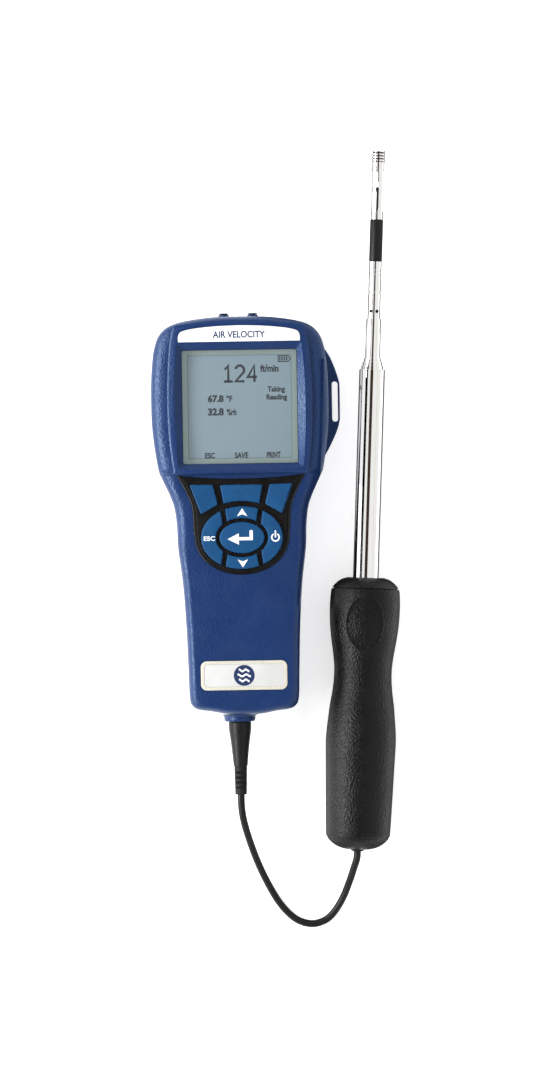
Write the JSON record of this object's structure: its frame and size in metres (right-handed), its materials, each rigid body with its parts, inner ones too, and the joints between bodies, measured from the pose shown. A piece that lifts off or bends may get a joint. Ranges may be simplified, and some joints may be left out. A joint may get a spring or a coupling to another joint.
{
  "type": "handheld air velocity meter",
  "caption": "Handheld air-velocity meter with screen and keypad, and a corded grip with a telescopic chromed sensor probe, lying on its back.",
  "frame": {"origin": "centre of the meter's flat back, on the surface that it lies on", "axes": "+Z out of the screen, +Y towards the top of the meter, +X towards the probe lying beside it"},
  "size_m": [0.109, 0.3454, 0.0433],
  "materials": {
    "casing": "fine-grained blue moulded plastic",
    "key": "satin blue silicone with white symbols",
    "black": "satin black plastic",
    "grip": "grained black plastic",
    "rubber": "matte black rubber",
    "cable": "satin black cable sheath",
    "silicone": "grey silicone",
    "clear": "clear polished window",
    "lcd": "grey-blue liquid crystal glass",
    "label": "white printed label",
    "plate": "pale silver plate",
    "steel": "bright zinc-plated steel",
    "chrome": "polished chrome",
    "board": "green circuit board",
    "battery": "dark printed battery wrap"
  },
  "bodies": {
    "meter": {"front_casing": "casing", "rear_casing": "casing", "socket_collar": "casing", "probe_socket": "black", "top_port_left": "rubber", "top_port_right": "rubber", "case_screw_1": "steel", "case_screw_2": "steel", "case_screw_3": "steel", "case_screw_4": "steel", "screen_lens": "clear", "lcd_panel": "lcd", "lcd_holder": "black", "keypad_bezel": "black", "keypad_membrane": "silicone", "main_board": "board", "processor_chip": "black", "buzzer": "black", "battery_tray": "black", "battery_block": "battery", "battery_stud_plus": "steel", "battery_stud_minus": "steel", "battery_snap": "black", "name_label": "label", "rating_plate": "plate"},
    "battery_door": {"battery_door": "casing"},
    "softkey_left_cap": {"softkey_left": "key"},
    "softkey_middle_cap": {"softkey_middle": "key"},
    "softkey_right_cap": {"softkey_right": "key"},
    "up_key_cap": {"up_key": "key"},
    "down_key_cap": {"down_key": "key"},
    "escape_key_cap": {"escape_key": "key"},
    "power_key_cap": {"power_key": "key"},
    "enter_key_cap": {"enter_key": "key"},
    "probe_lead": {"plug_body": "black", "plug_contact_sleeve": "steel", "strain_relief": "rubber", "probe_cable": "cable"},
    "probe_handle": {"handle_front_shell": "grip", "handle_rear_shell": "grip", "handle_top_cap": "grip", "handle_end_cap": "black", "cable_grommet": "rubber", "tube_bushing": "black", "handle_board": "board", "outer_tube": "chrome"},
    "section_1": {"tube_section_1": "chrome"},
    "section_2": {"tube_section_2": "chrome"},
    "section_3": {"tube_section_3": "chrome"},
    "section_4": {"tube_section_4": "chrome"},
    "probe_tip": {"tip_tube": "chrome", "insulating_band": "black", "sensor_shroud": "chrome", "velocity_sensor": "black", "temperature_sensor": "steel", "tip_cap": "chrome"}
  },
  "joints": [
    {"name": "battery_door_slide", "type": "slide", "parent": "meter", "child": "battery_door", "axis": [0, -1, 0], "range_m": [0, 0.02]},
    {"name": "softkey_left_press", "type": "slide", "parent": "meter", "child": "softkey_left_cap", "axis": [0, 0, -1], "range_m": [0, 0.0008], "stiffness_N_per_m": 1200, "springref_m": -0.0003},
    {"name": "softkey_middle_press", "type": "slide", "parent": "meter", "child": "softkey_middle_cap", "axis": [0, 0, -1], "range_m": [0, 0.0008], "stiffness_N_per_m": 1200, "springref_m": -0.0003},
    {"name": "softkey_right_press", "type": "slide", "parent": "meter", "child": "softkey_right_cap", "axis": [0, 0, -1], "range_m": [0, 0.0008], "stiffness_N_per_m": 1200, "springref_m": -0.0003},
    {"name": "up_key_press", "type": "slide", "parent": "meter", "child": "up_key_cap", "axis": [0, 0, -1], "range_m": [0, 0.0008], "stiffness_N_per_m": 1200, "springref_m": -0.0003},
    {"name": "down_key_press", "type": "slide", "parent": "meter", "child": "down_key_cap", "axis": [0, 0, -1], "range_m": [0, 0.0008], "stiffness_N_per_m": 1200, "springref_m": -0.0003},
    {"name": "escape_key_press", "type": "slide", "parent": "meter", "child": "escape_key_cap", "axis": [0, 0, -1], "range_m": [0, 0.0008], "stiffness_N_per_m": 1200, "springref_m": -0.0003},
    {"name": "power_key_press", "type": "slide", "parent": "meter", "child": "power_key_cap", "axis": [0, 0, -1], "range_m": [0, 0.0008], "stiffness_N_per_m": 1200, "springref_m": -0.0003},
    {"name": "enter_key_press", "type": "slide", "parent": "meter", "child": "enter_key_cap", "axis": [0, 0, -1], "range_m": [0, 0.0008], "stiffness_N_per_m": 1200, "springref_m": -0.0003},
    {"name": "probe_unplug", "type": "slide", "parent": "meter", "child": "probe_lead", "axis": [0, -1, 0], "range_m": [0, 0.015]},
    {"name": "handle_lift", "type": "slide", "parent": "probe_lead", "child": "probe_handle", "axis": [0, 0, 1], "range_m": [0, 0.04]},
    {"name": "telescope_1", "type": "slide", "parent": "probe_handle", "child": "section_1", "axis": [0.0466, 0.9989, 0], "range_m": [0, 0.165]},
    {"name": "telescope_2", "type": "slide", "parent": "section_1", "child": "section_2", "axis": [0.0466, 0.9989, 0], "range_m": [0, 0.165]},
    {"name": "telescope_3", "type": "slide", "parent": "section_2", "child": "section_3", "axis": [0.0466, 0.9989, 0], "range_m": [0, 0.165]},
    {"name": "telescope_4", "type": "slide", "parent": "section_3", "child": "section_4", "axis": [0.0466, 0.9989, 0], "range_m": [0, 0.165]},
    {"name": "telescope_5", "type": "slide", "parent": "section_4", "child": "probe_tip", "axis": [0.0466, 0.9989, 0], "range_m": [0, 0.165]}
  ]
}
